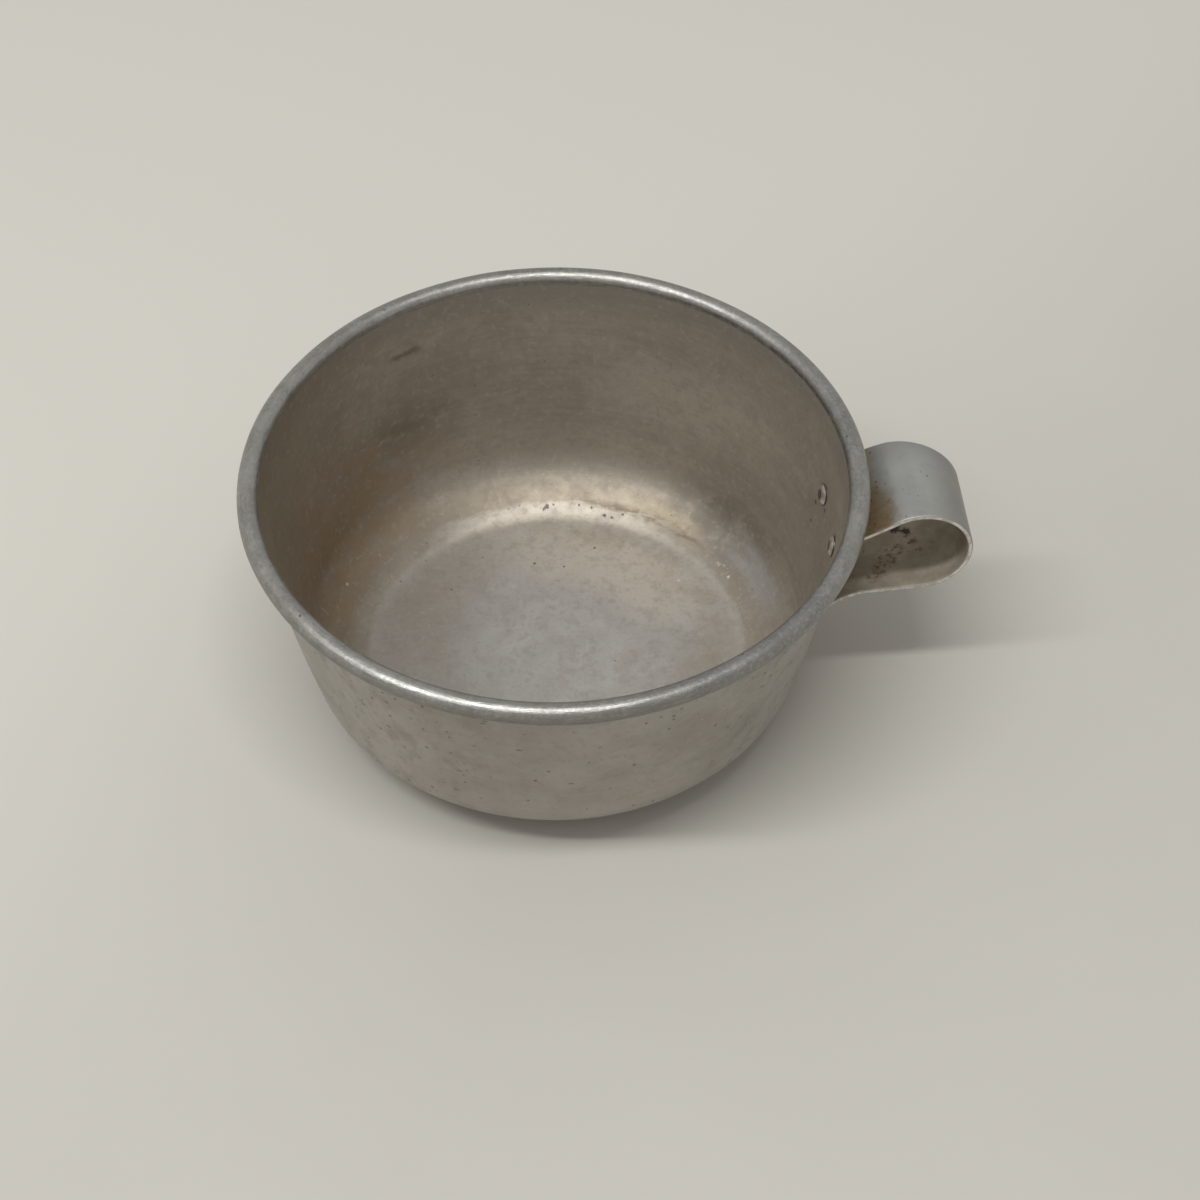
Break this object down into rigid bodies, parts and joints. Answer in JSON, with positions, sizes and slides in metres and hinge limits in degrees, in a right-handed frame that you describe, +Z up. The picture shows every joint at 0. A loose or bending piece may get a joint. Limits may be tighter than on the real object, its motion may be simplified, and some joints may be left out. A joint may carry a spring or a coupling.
{
  "type": "handled bowl",
  "caption": "Round drawn aluminium bowl with a rolled rim and flat base, and a looped strap handle riveted to its side, for eating or dipping.",
  "frame": {"origin": "middle of the flat underside, on the bowl's axis", "axes": "+Z up along the bowl's axis, +X towards the handle"},
  "size_m": [0.1521, 0.13, 0.0575],
  "materials": {
    "bowl_sheet": "worn satin, dulled and stained inside",
    "handle_sheet": "smooth satin with brown stains near the wall",
    "rivet_metal": "worn, dark at the edge"
  },
  "bodies": {
    "root": {"bowl": "bowl_sheet", "handle_strap": "handle_sheet", "rivet_front": "rivet_metal", "rivet_rear": "rivet_metal"}
  },
  "joints": []
}
